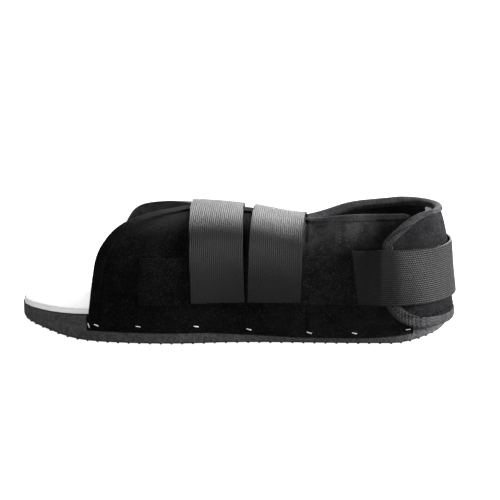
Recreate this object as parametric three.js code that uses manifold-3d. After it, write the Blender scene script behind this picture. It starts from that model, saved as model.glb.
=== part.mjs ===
// Post operative shoe: rocker outsole with a studded tread, white foam insole, one open wrap upper with bound
// edges, a loop pad, two instep straps and an ankle strap. Millimetres, toe towards -X, heel towards +X, +Z up.
import * as THREE from "three";
import { mergeVertices } from "three/addons/utils/BufferGeometryUtils.js";
import Module from "manifold-3d";

const wasm = await Module();
wasm.setup();

// Sole
const soleLength = 305;
const ballWidth = 108;
const heelRadius = 41.5; // round of the heel in plan
const soleHeight = 19.7; // flat top of the outsole above the floor
const soleEdgeRound = 2.2; // bottom edge, drawn in and up
const studPitch = 7.6;
const studWidth = 2.6;
const studHeight = 1.1;
const studMargin = 4.2; // outer row of studs to the sole's edge
const insoleThickness = 4;
const studRoot = 0.5; // sunk into the sole
const lipStep = 0.35; // the lip under the hem falls outwards by this much
const insoleInset = 0.8; // insole edge behind the sole's edge where it shows at the toe
const insoleEdgeRound = 0.9;

// Upper
const wallThickness = 2.8;
const wallProud = 0.6; // outer face of the wall in front of the sole's edge
const vampHeight = 89.5; // ridge over the instep
const throatHeight = 82.5; // lowest point of the ridge, where the collar starts
const collarHeight = 89.5;
const heelTabHeight = 91; // collar at the back of the heel
const collarWidth = 41; // inside the two collar edges
const wrapLift = 4.5; // heel wrap's outer face over the quarter's outer face
const wrapHem = 13.5; // lower edge of the heel wrap above the floor
const wrapReach = 68.2; // rounded end of the heel wrap, walked past the back centre
const nearQuarterTop = 38; // upper corner of the near quarter, walked from the back centre, under the wrap
const collarBoundEnd = 41; // end of the near collar's binding, the same way

// Trim
const bindingThickness = 0.8;
const bindingWidth = 6.5;
const bindingGap = 0.6; // between the binding and the wall's faces
const padThickness = 1;
const padBottom = 30;
const padTop = 63;
const tapeWidth = 37.5;
const tapeThickness = 1.6;
const frontStrapStart = 125.4; // front edge of the first strap behind the toe tip
const strapSpacing = 39.6; // first strap's front edge to the second's
const strapEndHeight = 31.8; // free ends of the instep straps above the floor
const strapSewnHeight = 24; // ends sewn to the far wall
const frontStrapLean = -4; // from its free end up to the ridge, towards the toe
const rearStrapLean = 1;
const ankleStrapHeight = 31; // lower edge of the ankle strap
const ankleStrapEndLean = 4.8; // lower corner of its free end behind the upper one
const ankleStrapReach = 90.8; // its free end, walked past the back centre on the near side
const ankleStrapSewnEnd = 112; // the same on the far side
const climbLength = 10.6; // the ankle strap climbs from the quarter on to the heel wrap
const climbGap = 2.4; // end of the climb in front of the wrap's end
const settleStart = -10; // past the back centre, where the ankle strap has left the wrap's binding
const settleEnd = 30;
const tabWidth = 8.5;
const tabDrop = 12;
const tabThickness = 0.9;
const tabBulge = 1.2; // the folded tab stands off the wall in its middle
const girthLength = 106; // mean girth of one side from hem to top edge
const clearance = 0.3;

// Half outline of the sole from the toe tip: share of soleLength, share of half the ball width.
const outlineRows = [
  { along: 0, wide: 0 },
  { along: 0, wide: 0.185 },
  { along: 0.0046, wide: 0.296 },
  { along: 0.0116, wide: 0.426 },
  { along: 0.0287, wide: 0.53 },
  { along: 0.058, wide: 0.667 },
  { along: 0.092, wide: 0.778 },
  { along: 0.149, wide: 0.88 },
  { along: 0.215, wide: 0.965 },
  { along: 0.304, wide: 1 },
  { along: 0.39, wide: 0.974 },
  { along: 0.495, wide: 0.87 },
  { along: 0.594, wide: 0.826 },
  { along: 0.71, wide: 0.807 },
  { along: 0.79, wide: 0.793 },
];

// Underside: rise above its flat, and the height of the lip that the upper's hem sits on; shares of soleHeight.
const profileRows = [
  { along: 0, rise: 0.44, lip: 0.46 },
  { along: 0.03, rise: 0.34, lip: 0.46 },
  { along: 0.0726, rise: 0.225, lip: 0.46 },
  { along: 0.12, rise: 0.07, lip: 0.46 },
  { along: 0.15, rise: 0.012, lip: 0.46 },
  { along: 0.18, rise: 0, lip: 0.46 },
  { along: 0.42, rise: 0, lip: 0.45 },
  { along: 0.54, rise: 0, lip: 0.36 },
  { along: 0.68, rise: 0, lip: 0.255 },
  { along: 0.79, rise: 0, lip: 0.255 },
  { along: 0.878, rise: 0, lip: 0.32 },
  { along: 0.906, rise: 0.035, lip: 0.38 },
  { along: 0.932, rise: 0.1, lip: 0.42 },
  { along: 0.957, rise: 0.165, lip: 0.46 },
  { along: 1, rise: 0.25, lip: 0.5 },
];

// Sections of the upper from hem to top edge: share of the local half width, share of the local height.
const sectionRows = {
  vamp: { wide: [1, 1.012, 0.97, 0.8, 0.45, 0], high: [0, 0.33, 0.62, 0.84, 0.96, 1] },
  throat: { wide: [1, 1.02, 0.96, 0.77, 0.4, 0], high: [0, 0.33, 0.6, 0.82, 0.95, 1] },
  opening: { wide: [1, 1.015, 0.96, 0.79, 0.49, 0.18], high: [0, 0.33, 0.58, 0.79, 0.93, 1] },
  quarter: { wide: [1, 1.005, 0.955, 0.85, 0.7, 0.53], high: [0, 0.3, 0.51, 0.71, 0.87, 1] },
  heel: { wide: [1, 0.975, 0.925, 0.89, 0.83, 0.766], high: [0, 0.22, 0.45, 0.7, 0.88, 1] },
};

// Where the flaps are cut away in front of the ridge: share of soleLength, share of the girth from the hem.
const nearFlapRows = [
  { along: 0.193, girth: 0.4 },
  { along: 0.2, girth: 0.475 },
  { along: 0.207, girth: 0.515 },
  { along: 0.219, girth: 0.58 },
  { along: 0.238, girth: 0.665 },
  { along: 0.262, girth: 0.74 },
  { along: 0.288, girth: 0.8 },
  { along: 0.32, girth: 0.865 },
  { along: 0.358, girth: 0.925 },
  { along: 0.397, girth: 0.985 },
  { along: 0.42, girth: 1 },
];
const farFlapRows = [
  { along: 0.212, girth: 0.36 },
  { along: 0.221, girth: 0.42 },
  { along: 0.231, girth: 0.48 },
  { along: 0.2395, girth: 0.54 },
  { along: 0.255, girth: 0.61 },
  { along: 0.273, girth: 0.67 },
  { along: 0.302, girth: 0.735 },
  { along: 0.348, girth: 0.825 },
  { along: 0.398, girth: 0.945 },
  { along: 0.42, girth: 1 },
];
// Places along the upper, shares of soleLength.
const nearFrontHem = 0.1725; // front edges of the flaps at the hem
const farFrontHem = 0.176;
const ridgeStart = 0.42; // the flaps meet on the ridge from here
const ridgeEnd = 0.645; // to here, where the collar opens
const throatPlace = 0.6695; // lowest point of the ridge
const collarStart = 0.685; // collar a third open
const collarFull = 0.785; // collar at its full width
const nearQuarterEnd = 0.92; // rear edge of the near quarter, under the heel wrap
const padStart = 0.2925;
const padEnd = 0.826;
const strapCrossing = 0.975; // share of the girth where an instep strap goes over to the far side

// Rounded end of the heel wrap on the near side: share of wrapReach, its two edges as shares of the girth.
const wrapEndRows = [
  { reach: 0.3, low: 0, high: 1 },
  { reach: 0.42, low: 0, high: 0.985 },
  { reach: 0.55, low: 0.002, high: 0.94 },
  { reach: 0.65, low: 0.008, high: 0.9 },
  { reach: 0.755, low: 0.028, high: 0.845 },
  { reach: 0.85, low: 0.065, high: 0.793 },
  { reach: 0.94, low: 0.12, high: 0.732 },
  { reach: 1, low: 0.19, high: 0.675 },
];

const rubber = new THREE.MeshStandardMaterial({ color: 0x2b2b2d, roughness: 0.85, metalness: 0 });
const foam = new THREE.MeshStandardMaterial({ color: 0xf4f4f2, roughness: 0.8, metalness: 0 });
const pile = new THREE.MeshStandardMaterial({ color: 0x0d0d0e, roughness: 0.95, metalness: 0 });
const braid = new THREE.MeshStandardMaterial({ color: 0x1d1d1f, roughness: 0.8, metalness: 0 });
const webbing = new THREE.MeshStandardMaterial({ color: 0x2a2a2c, roughness: 0.85, metalness: 0 });
const cottonTape = new THREE.MeshStandardMaterial({ color: 0xf2f2f0, roughness: 0.9, metalness: 0 });

const heelCentre = soleLength / 2 - heelRadius;
const heelQuarter = (Math.PI / 2) * heelRadius; // walk from the back of the heel to its side
const placeAt = (along) => (along - 0.5) * soleLength;
const shareAt = (x) => x / soleLength + 0.5;
const walkTo = (along) => heelQuarter + heelCentre - placeAt(along);

// Smooth value of one column of a table at a place on another column, without overshoot.
function column(rows, key, name, place) {
  const last = rows.length - 1;
  if (place <= rows[0][key]) return rows[0][name];
  if (place >= rows[last][key]) return rows[last][name];
  let i = 0;
  while (place > rows[i + 1][key]) i++;
  const step = (k) => (rows[k + 1][name] - rows[k][name]) / (rows[k + 1][key] - rows[k][key]);
  const slope = (k) => {
    if (k === 0) return step(0);
    if (k === last) return step(last - 1);
    const before = step(k - 1);
    const after = step(k);
    return before * after <= 0 ? 0 : (2 * before * after) / (before + after);
  };
  const width = rows[i + 1][key] - rows[i][key];
  const t = (place - rows[i][key]) / width;
  const rise = rows[i + 1][name] - rows[i][name];
  const start = slope(i) * width;
  const end = slope(i + 1) * width;
  return rows[i][name] + t * (start + t * (3 * rise - 2 * start - end + t * (start + end - 2 * rise)));
}

const mix = (a, b, t) => a + (b - a) * t;
const ease = (a, b, x) => THREE.MathUtils.smoothstep(x, a, b);
const shares = (count) => Array.from({ length: count + 1 }, (_, i) => i / count);

// Half outline as points with their distance round the edge, toe centre to heel centre.
const halfOutline = (() => {
  const rows = outlineRows.map((r) => new THREE.Vector2(placeAt(r.along), (r.wide * ballWidth) / 2));
  rows.push(new THREE.Vector2(heelCentre, heelRadius));
  const side = new THREE.SplineCurve(rows).getSpacedPoints(300);
  const round = shares(60).slice(1);
  const heel = round.map((t) => {
    const turn = (t * Math.PI) / 2;
    return new THREE.Vector2(heelCentre + heelRadius * Math.sin(turn), heelRadius * Math.cos(turn));
  });
  let walked = 0;
  const points = [...side, ...heel];
  return points.map((p, i) => {
    walked += i ? p.distanceTo(points[i - 1]) : 0;
    return { x: p.x, y: p.y, walked };
  });
})();
const halfPerimeter = halfOutline.at(-1).walked;

function segmentAt(key, value) {
  let low = 0;
  let high = halfOutline.length - 1;
  while (high - low > 1) {
    const middle = (low + high) >> 1;
    if (halfOutline[middle][key] <= value) low = middle;
    else high = middle;
  }
  const a = halfOutline[low];
  const b = halfOutline[high];
  return { a, b, t: THREE.MathUtils.clamp((value - a[key]) / (b[key] - a[key] || 1), 0, 1) };
}

function outlineAt(walked) {
  const { a, b, t } = segmentAt("walked", walked);
  const length = Math.hypot(b.x - a.x, b.y - a.y);
  return {
    x: mix(a.x, b.x, t),
    y: mix(a.y, b.y, t),
    out: { x: -(b.y - a.y) / length, y: (b.x - a.x) / length },
  };
}

function halfWidthAt(x) {
  const { a, b, t } = segmentAt("x", x);
  return mix(a.y, b.y, t);
}

function walkedAt(x) {
  const { a, b, t } = segmentAt("x", x);
  return mix(a.walked, b.walked, t);
}

const undersideAt = (x) => studHeight + column(profileRows, "along", "rise", shareAt(x)) * soleHeight;
const lipAt = (x) => column(profileRows, "along", "lip", shareAt(x)) * soleHeight;

// Triangles of a closed solid, in the order that turns their faces outwards.
const quad = (list, a, b, c, d) => list.push([a, b, c], [a, c, d]);

function geometryOf(triangles) {
  const flat = triangles.flat().flatMap((p) => [p.x, p.y, p.z]);
  const soup = new THREE.BufferGeometry();
  soup.setAttribute("position", new THREE.Float32BufferAttribute(flat, 3));
  const merged = mergeVertices(soup, 1e-4);
  const kept = [];
  const index = merged.index.array;
  for (let i = 0; i < index.length; i += 3) {
    const [a, b, c] = [index[i], index[i + 1], index[i + 2]];
    if (a !== b && b !== c && c !== a) kept.push(a, b, c);
  }
  merged.setIndex(kept);
  return merged;
}

function meshOf(name, geometry, material) {
  const mesh = new THREE.Mesh(geometry, material);
  mesh.name = name;
  return mesh;
}

function solidOf(geometry) {
  return new wasm.Manifold(
    new wasm.Mesh({
      numProp: 3,
      vertProperties: new Float32Array(geometry.attributes.position.array),
      triVerts: new Uint32Array(geometry.index.array),
    }),
  );
}

function geometryFrom(solid) {
  const made = solid.getMesh();
  const geometry = new THREE.BufferGeometry();
  geometry.setAttribute("position", new THREE.Float32BufferAttribute(made.vertProperties, 3));
  geometry.setIndex([...made.triVerts]);
  return geometry;
}

// A solid made of level rings round the sole: each ring gives an inset and a height at every station.
function ringSolid(stations, rings) {
  const loops = rings.map((ring) =>
    stations.map((walked) => {
      const p = outlineAt(walked);
      const inset = ring.inset(p.x);
      const x = p.x - p.out.x * inset;
      const y = Math.max(0, p.y - p.out.y * inset);
      return { x, y, z: ring.height(p.x) };
    }),
  );
  const triangles = [];
  const far = (p) => new THREE.Vector3(p.x, p.y, p.z);
  const near = (p) => new THREE.Vector3(p.x, -p.y, p.z);
  const last = stations.length - 1;
  for (const loop of loops) {
    loop[0].y = 0;
    loop[last].y = 0;
  }
  for (let k = 0; k + 1 < loops.length; k++) {
    for (let i = 0; i < last; i++) {
      const [a, b, c, d] = [loops[k][i], loops[k][i + 1], loops[k + 1][i + 1], loops[k + 1][i]];
      quad(triangles, far(b), far(a), far(d), far(c));
      quad(triangles, near(a), near(b), near(c), near(d));
    }
  }
  const floor = loops[0];
  const roof = loops.at(-1);
  for (let i = 0; i < last; i++) {
    quad(triangles, far(floor[i]), far(floor[i + 1]), near(floor[i + 1]), near(floor[i]));
    quad(triangles, near(roof[i]), near(roof[i + 1]), far(roof[i + 1]), far(roof[i]));
  }
  return geometryOf(triangles);
}

// The sole's edge steps in where the upper's hem lies on it, deeper under the bound front edges of the flaps.
const hemRecess = wallThickness - wallProud + clearance;
const boundRecess = hemRecess + bindingThickness + bindingGap;
const recessStart = placeAt(nearFrontHem) - bindingThickness - 3 * clearance;
const boundEnd = placeAt(mix(farFrontHem, farFlapRows[0].along, 0.4)) + bindingWidth + 4 * clearance;
const recessEnd = placeAt(nearQuarterEnd) + 2 * clearance;
const recessStep = 0.25;

function recessAt(x) {
  if (x < recessStart + recessStep || x > recessEnd + recessStep) return 0;
  return x < boundEnd ? boundRecess : hemRecess;
}

function soleStations() {
  const even = shares(44).map((t) => t * halfPerimeter);
  const steps = [recessStart, recessStart + 2 * recessStep, recessEnd, recessEnd + 2 * recessStep];
  steps.push(boundEnd - recessStep, boundEnd + recessStep);
  const edges = steps.map(walkedAt);
  const clear = even.filter((s) => edges.every((e) => Math.abs(s - e) > 4 * recessStep));
  return [...clear, ...edges].sort((a, b) => a - b);
}

function studs() {
  const made = [];
  const stud = (x, y) => {
    const cone = new THREE.CylinderGeometry(studWidth / 2, studWidth / 4, studHeight + studRoot, 4, 1);
    cone.rotateX(Math.PI / 2);
    cone.translate(x, y, undersideAt(x) + (studRoot - studHeight) / 2);
    cone.deleteAttribute("normal");
    cone.deleteAttribute("uv");
    made.push(solidOf(mergeVertices(cone, 1e-4)));
  };
  const rowLength = halfPerimeter - Math.PI * 0.5 * studMargin;
  const edgeCount = Math.round(rowLength / studPitch);
  for (let i = 0; i <= edgeCount; i++) {
    const p = outlineAt((i / edgeCount) * halfPerimeter);
    const x = p.x - p.out.x * studMargin;
    const y = p.y - p.out.y * studMargin;
    const onCentre = i === 0 || i === edgeCount;
    for (const side of onCentre ? [0] : [-1, 1]) stud(x, side * y);
  }
  const spacing = 3 * studPitch;
  const innerLength = soleLength / 2 - studMargin - studPitch;
  const reach = Math.floor(innerLength / spacing);
  for (let line = -reach; line <= reach; line++) {
    const x = line * spacing;
    const room = halfWidthAt(x) - studMargin - studPitch;
    const rows = Math.floor(room / spacing);
    for (let row = -rows; row <= rows; row++) stud(x, row * spacing);
  }
  return made;
}

function makeOutsole() {
  const lip = (x) => Math.max(lipAt(x), undersideAt(x) + soleEdgeRound);
  const body = ringSolid(soleStations(), [
    { inset: () => soleEdgeRound, height: undersideAt },
    { inset: () => soleEdgeRound / 4, height: (x) => undersideAt(x) + soleEdgeRound * 0.6 },
    { inset: () => 0, height: lip },
    { inset: recessAt, height: (x) => lip(x) + lipStep },
    { inset: recessAt, height: () => soleHeight },
  ]);
  const joined = studs().reduce((sole, stud) => sole.add(stud), solidOf(body));
  return meshOf("outsole", geometryFrom(joined), rubber);
}

function makeInsole() {
  const inside = boundRecess + clearance;
  const inset = (x) => mix(insoleInset, inside, ease(recessStart - 12, recessStart - 1, x));
  const top = soleHeight + clearance + insoleThickness;
  const stations = shares(36).map((t) => t * halfPerimeter);
  const geometry = ringSolid(stations, [
    { inset, height: () => soleHeight + clearance },
    { inset, height: () => top - insoleEdgeRound },
    { inset: (x) => inset(x) + insoleEdgeRound, height: () => top },
  ]);
  return meshOf("insole", geometry, foam);
}

// The upper's surface. A place on it is a walk round the heel from the back centre, positive on the far side
// and negative on the near side, a share of the girth from hem to top edge, and a distance out from the face.
// The tables by walk start on the other side of the back, so that the heel is round across its centre.
const crestRows = [
  { walk: -heelQuarter * 0.9, z: collarHeight },
  { walk: 0, z: heelTabHeight },
  { walk: heelQuarter * 0.9, z: collarHeight },
  { walk: walkTo(collarFull), z: mix(throatHeight, collarHeight, 0.92) },
  { walk: walkTo(throatPlace), z: throatHeight },
  { walk: walkTo(0.535), z: mix(throatHeight, vampHeight, 0.72) },
  { walk: walkTo(ridgeStart), z: vampHeight },
  { walk: walkTo(0.15), z: vampHeight },
];
const sectionPlaces = [
  { walk: -heelQuarter, rows: sectionRows.quarter },
  { walk: 0, rows: sectionRows.heel },
  { walk: heelQuarter, rows: sectionRows.quarter },
  { walk: walkTo(collarFull), rows: sectionRows.quarter },
  { walk: walkTo(collarStart), rows: sectionRows.opening },
  { walk: walkTo(ridgeEnd), rows: sectionRows.throat },
  { walk: walkTo(0.5), rows: sectionRows.vamp },
  { walk: walkTo(0.15), rows: sectionRows.vamp },
];
const collarShare = collarWidth / 2 / halfWidthAt(placeAt(collarFull));
const collarScale = collarShare / sectionRows.quarter.wide.at(-1);

function blended(walk, name, k) {
  const rows = sectionPlaces.map((place) => {
    const value = place.rows[name][k];
    const collarPoint = name === "wide" && k === 5 && place.rows === sectionRows.quarter;
    return { walk: place.walk, value: collarPoint ? value * collarScale : value };
  });
  return column(rows, "walk", "value", walk);
}

// One coordinate of a section at a girth share, a smooth curve through its six rows, straight past its ends.
function alongGirth(values, girth) {
  const last = values.length - 1;
  const place = THREE.MathUtils.clamp(girth, 0, 1) * last;
  const i = Math.min(last - 1, Math.floor(place));
  const t = place - i;
  const before = values[i - 1] ?? 2 * values[i] - values[i + 1];
  const after = values[i + 2] ?? 2 * values[i + 1] - values[i];
  const [a, b] = [values[i], values[i + 1]];
  const bend = 2 * before - 5 * a + 4 * b - after;
  const turn = 3 * a - before - 3 * b + after;
  const value = a + 0.5 * t * (b - before + t * (bend + t * turn));
  const past = (girth - THREE.MathUtils.clamp(girth, 0, 1)) * last;
  return value + past * (girth > 1 ? values[last] - values[last - 1] : values[1] - values[0]);
}

function hemAt(q) {
  const walk = Math.abs(q);
  const onRound = heelCentre + heelRadius * Math.cos(walk / heelRadius);
  const x = walk > heelQuarter ? heelCentre + heelQuarter - walk : onRound;
  const onLip = lipAt(Math.min(x, placeAt(nearQuarterEnd))) + 2 * clearance;
  if (q < 0) return onLip;
  return mix(wrapHem, onLip, ease(heelQuarter * 0.72, heelQuarter * 1.05, walk));
}

const sectionCache = new Map();
function sectionAt(q) {
  if (!sectionCache.has(q)) {
    const walk = Math.abs(q);
    const six = [0, 1, 2, 3, 4, 5];
    sectionCache.set(q, {
      wide: six.map((k) => blended(walk, "wide", k)),
      high: six.map((k) => blended(walk, "high", k)),
      crest: column(crestRows, "walk", "z", walk),
    });
  }
  return sectionCache.get(q);
}

function faceAt(q, girth, hem) {
  const walk = Math.abs(q);
  const side = q < 0 ? -1 : 1;
  const { wide, high, crest } = sectionAt(q);
  const spread = alongGirth(wide, girth);
  const z = mix(hem, crest, alongGirth(high, girth));
  if (walk >= heelQuarter) {
    const x = heelCentre + heelQuarter - walk;
    return new THREE.Vector3(x, side * spread * (halfWidthAt(x) + wallProud), z);
  }
  const turn = walk / heelRadius;
  const radius = spread * (heelRadius + wallProud);
  return new THREE.Vector3(heelCentre + radius * Math.cos(turn), side * radius * Math.sin(turn), z);
}

function outAt(q, girth, hem) {
  const stepWalk = 0.4;
  const stepGirth = 0.004;
  const along = faceAt(q + stepWalk, girth, hem).sub(faceAt(q - stepWalk, girth, hem));
  const up = faceAt(q, girth + stepGirth, hem).sub(faceAt(q, girth - stepGirth, hem));
  return along.cross(up).normalize();
}

// The panels differ in their hem, and the far one lifts away to pass over the near quarter.
const nearPanel = {
  point: (q, girth, out = 0) => {
    const hem = hemAt(q);
    return faceAt(q, girth, hem).addScaledVector(outAt(q, girth, hem), out);
  },
};
const liftAt = (q) => wrapLift * (1 - ease(heelQuarter * 0.75, heelQuarter * 1.6, Math.max(0, q)));
const farPanel = {
  point: (q, girth, out = 0) => {
    const hem = q < 0 ? wrapHem : hemAt(q);
    return faceAt(q, girth, hem).addScaledVector(outAt(q, girth, hem), out + liftAt(q));
  },
};

function girthAtHeight(panel, q, height) {
  let low = 0;
  let high = 1;
  for (let step = 0; step < 30; step++) {
    const middle = (low + high) / 2;
    if (panel.point(q, middle).z < height) low = middle;
    else high = middle;
  }
  return (low + high) / 2;
}

// Closed wall between two grids of points, columns first. openTop says which columns have no strip on top.
function wallTriangles(outer, inner, openTop = () => false) {
  const list = [];
  const columns = outer.length - 1;
  const rows = outer[0].length - 1;
  for (let i = 0; i < columns; i++) {
    for (let j = 0; j < rows; j++) {
      quad(list, outer[i][j], outer[i + 1][j], outer[i + 1][j + 1], outer[i][j + 1]);
      quad(list, inner[i][j], inner[i][j + 1], inner[i + 1][j + 1], inner[i + 1][j]);
    }
    quad(list, outer[i + 1][0], outer[i][0], inner[i][0], inner[i + 1][0]);
    if (!openTop(i)) quad(list, outer[i][rows], outer[i + 1][rows], inner[i + 1][rows], inner[i][rows]);
  }
  for (let j = 0; j < rows; j++) {
    quad(list, outer[0][j], outer[0][j + 1], inner[0][j + 1], inner[0][j]);
    quad(list, outer[columns][j + 1], outer[columns][j], inner[columns][j], inner[columns][j + 1]);
  }
  return list;
}

// Columns of the two panels. Each gives the walk and the girth of the point at a share s from hem to top edge.
const ridgeColumns = shares(9).map((t) => mix(ridgeStart, ridgeEnd, t));
const flapSpread = shares(13).map((t) => t ** 1.35);
const collarColumns = shares(8).slice(1).map((t) => t ** 1.25);

function flapColumn(side, rows, frontHem, t) {
  const frontTop = rows[0].along;
  const place = (s) => mix(mix(frontHem, frontTop, s), ridgeStart, t);
  const top = column(rows, "along", "girth", place(1));
  return { walk: (s) => side * walkTo(place(s)), girth: (s) => s * top, ridge: false };
}

function uprightColumn(q, low = 0, high = 1, ridge = false) {
  return { walk: () => q, girth: (s) => mix(low, high, s), ridge };
}

function nearColumns() {
  const flap = flapSpread.slice(0, -1).map((t) => flapColumn(-1, nearFlapRows, nearFrontHem, t));
  const ridge = ridgeColumns.map((along) => uprightColumn(-walkTo(along), 0, 1, true));
  const toQuarter = walkTo(ridgeEnd);
  const collar = collarColumns.map((t) => uprightColumn(-mix(toQuarter, heelQuarter, t)));
  const nearEnd = heelRadius * Math.acos((placeAt(nearQuarterEnd) - heelCentre) / heelRadius);
  const heel = shares(2).slice(1).map((t) => {
    const walk = (s) => -mix(heelQuarter, mix(nearEnd, nearQuarterTop, s), t);
    return { walk, girth: (s) => s, ridge: false };
  });
  return [...flap, ...ridge, ...collar, ...heel];
}

function wrapColumn(q) {
  const reach = Math.max(0, -q) / wrapReach;
  const low = column(wrapEndRows, "reach", "low", reach);
  const high = column(wrapEndRows, "reach", "high", reach);
  return uprightColumn(q, low, high);
}

function farColumns() {
  const wrap = shares(9).slice(0, -1).map((t) => wrapColumn(-wrapReach * (1 - t) ** 0.8));
  const heel = shares(6).map((t) => uprightColumn(heelQuarter * t));
  const collar = [...collarColumns].reverse().map((t) => uprightColumn(mix(walkTo(ridgeEnd), heelQuarter, t)));
  const ridge = [...ridgeColumns].reverse().map((along) => uprightColumn(walkTo(along), 0, 1, true));
  const flap = [...flapSpread].reverse().slice(1).map((t) => flapColumn(1, farFlapRows, farFrontHem, t));
  return [...wrap, ...heel, ...collar.slice(1), ...ridge, ...flap];
}

const girthShares = shares(12);

function panelTriangles(panel, columns) {
  const grid = (out) =>
    columns.map((c) =>
      girthShares.map((s) => {
        const p = panel.point(c.walk(s), c.girth(s), out);
        if (!c.ridge || s < 1) return p;
        const edge = panel.point(c.walk(s), 1);
        return new THREE.Vector3(edge.x, 0, edge.z + out);
      }),
    );
  const seam = (i) => columns[i].ridge && columns[i + 1].ridge;
  return wallTriangles(grid(0), grid(-wallThickness), seam);
}

function makeUpper() {
  const triangles = [...panelTriangles(nearPanel, nearColumns()), ...panelTriangles(farPanel, farColumns())];
  return meshOf("upper", geometryOf(triangles), pile);
}

// Binding tape folded over a free edge of the wall. The edge is a run of places on a panel, with the wall on
// its left when the place moves on. A level place has its section square to the hem.
function makeBinding(name, panel, edge, wallOnLeft) {
  const turn = wallOnLeft ? 1 : -1;
  const sections = edge.map((place, i) => {
    const before = edge[Math.max(0, i - 1)];
    const after = edge[Math.min(edge.length - 1, i + 1)];
    const along = place.level ? 0 : after.q - before.q;
    const up = (after.girth - before.girth) * girthLength;
    const length = Math.hypot(along, up);
    const inward = { q: (-up / length) * turn, girth: (along / length / girthLength) * turn };
    const point = (depth, out) => {
      const q = place.q + inward.q * depth;
      return panel.point(q, place.girth + inward.girth * depth, out);
    };
    const face = bindingGap + bindingThickness;
    const back = -wallThickness - face;
    return [
      point(bindingWidth, face),
      point(-face, face),
      point(-face, back),
      point(bindingWidth, back),
      point(bindingWidth, back + bindingThickness),
      point(-bindingGap, back + bindingThickness),
      point(-bindingGap, bindingGap),
      point(bindingWidth, bindingGap),
    ];
  });
  return meshOf(name, sweep(sections, turn), braid);
}

// Closed body swept through rings of eight points that go round a folded section.
function sweep(sections, turn) {
  const list = [];
  const count = sections[0].length;
  const face = (a, b, c, d) => (turn < 0 ? quad(list, a, b, c, d) : quad(list, d, c, b, a));
  for (let i = 0; i + 1 < sections.length; i++) {
    for (let k = 0; k < count; k++) {
      const next = (k + 1) % count;
      face(sections[i][k], sections[i + 1][k], sections[i + 1][next], sections[i][next]);
    }
  }
  const cap = (ring, turned) => {
    const plates = [[0, 1, 6, 7], [1, 2, 5, 6], [2, 3, 4, 5]];
    for (const [a, b, c, d] of plates) {
      if (turned) face(ring[d], ring[c], ring[b], ring[a]);
      else face(ring[a], ring[b], ring[c], ring[d]);
    }
  };
  cap(sections[0], false);
  cap(sections.at(-1), true);
  return geometryOf(list);
}

const placesOf = (columns, s) => columns.map((c) => ({ q: c.walk(s), girth: c.girth(s) }));
const frontPlaces = (c) => girthShares.map((s) => ({ q: c.walk(s), girth: c.girth(s), level: s === 0 }));

function makeNearFlapBinding() {
  const columns = nearColumns().slice(0, flapSpread.length - 1);
  const edge = [...frontPlaces(columns[0]), ...placesOf(columns, 1).slice(1)];
  return makeBinding("binding_near_flap", nearPanel, edge, false);
}

function makeFarFlapBinding() {
  const columns = farColumns().slice(1 - flapSpread.length).reverse();
  const edge = [...frontPlaces(columns[0]), ...placesOf(columns, 1).slice(1)];
  return makeBinding("binding_far_flap", farPanel, edge, true);
}

const collarBound = walkTo(throatPlace); // where the two collar edges are wide enough apart to be bound

function makeNearCollarBinding() {
  const columns = nearColumns().slice(flapSpread.length - 1 + ridgeColumns.length);
  const uncovered = placesOf(columns, 1).filter((p) => p.q > -collarBound + 1 && p.q < -collarBoundEnd - 1);
  const edge = [{ q: -collarBound, girth: 1 }, ...uncovered, { q: -collarBoundEnd, girth: 1 }];
  return makeBinding("binding_near_collar", nearPanel, edge, false);
}

function makeHeelWrapBinding() {
  const columns = farColumns();
  const wrapCount = columns.findIndex((c) => c.walk(0) >= 0);
  const wrap = columns.slice(0, wrapCount);
  const lowerEnd = heelQuarter * 0.66;
  const backToSide = shares(4).map((t) => ({ q: lowerEnd * (1 - t), girth: 0 }));
  const lower = [...wrap].reverse();
  const end = girthShares.map((s) => ({ q: wrap[0].walk(s), girth: wrap[0].girth(s) }));
  const collar = columns.slice(wrapCount).filter((c) => c.walk(1) < collarBound - 1);
  const edge = [
    ...backToSide,
    ...placesOf(lower, 0).slice(0, -1),
    ...end,
    ...placesOf(wrap, 1).slice(1),
    ...placesOf(collar, 1),
    { q: collarBound, girth: 1 },
  ];
  return makeBinding("binding_heel_wrap", farPanel, edge, false);
}

// Flat piece that lies on a panel: places in columns and rows, from its under face to its thickness above it.
function makeLayer(name, panel, places, under, thickness, material) {
  const grid = (extra) =>
    places.map((rows, i) => rows.map((p) => panel(p.q, p.girth, under(i, p) + extra)));
  return meshOf(name, geometryOf(wallTriangles(grid(thickness), grid(0))), material);
}

function makeRidgeBinding() {
  const endGap = 4 * clearance;
  const start = placeAt(ridgeStart) + endGap;
  const end = placeAt(ridgeEnd) - endGap;
  const places = shares(10).map((t) => {
    const q = -walkTo(shareAt(mix(start, end, t)));
    const lower = 1 - bindingWidth / girthLength;
    const upper = 1 - 2 * clearance / girthLength;
    return shares(2).map((s) => ({ q, girth: mix(lower, upper, s) }));
  });
  return makeLayer("binding_ridge", nearPanel.point, places, () => clearance, bindingThickness, braid);
}

function makeLoopPad() {
  const places = shares(14).map((t) => {
    const q = -walkTo(mix(padStart, padEnd, t));
    const low = girthAtHeight(nearPanel, q, padBottom);
    const high = girthAtHeight(nearPanel, q, padTop);
    return shares(4).map((s) => ({ q, girth: mix(low, high, s) }));
  });
  return makeLayer("loop_pad", nearPanel.point, places, () => clearance, padThickness, pile);
}

// An instep strap goes from its free end on the near side, over the ridge, to its sewn end on the far side.
const overPad = padThickness + 2 * clearance;
const overWall = 2 * clearance;

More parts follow.
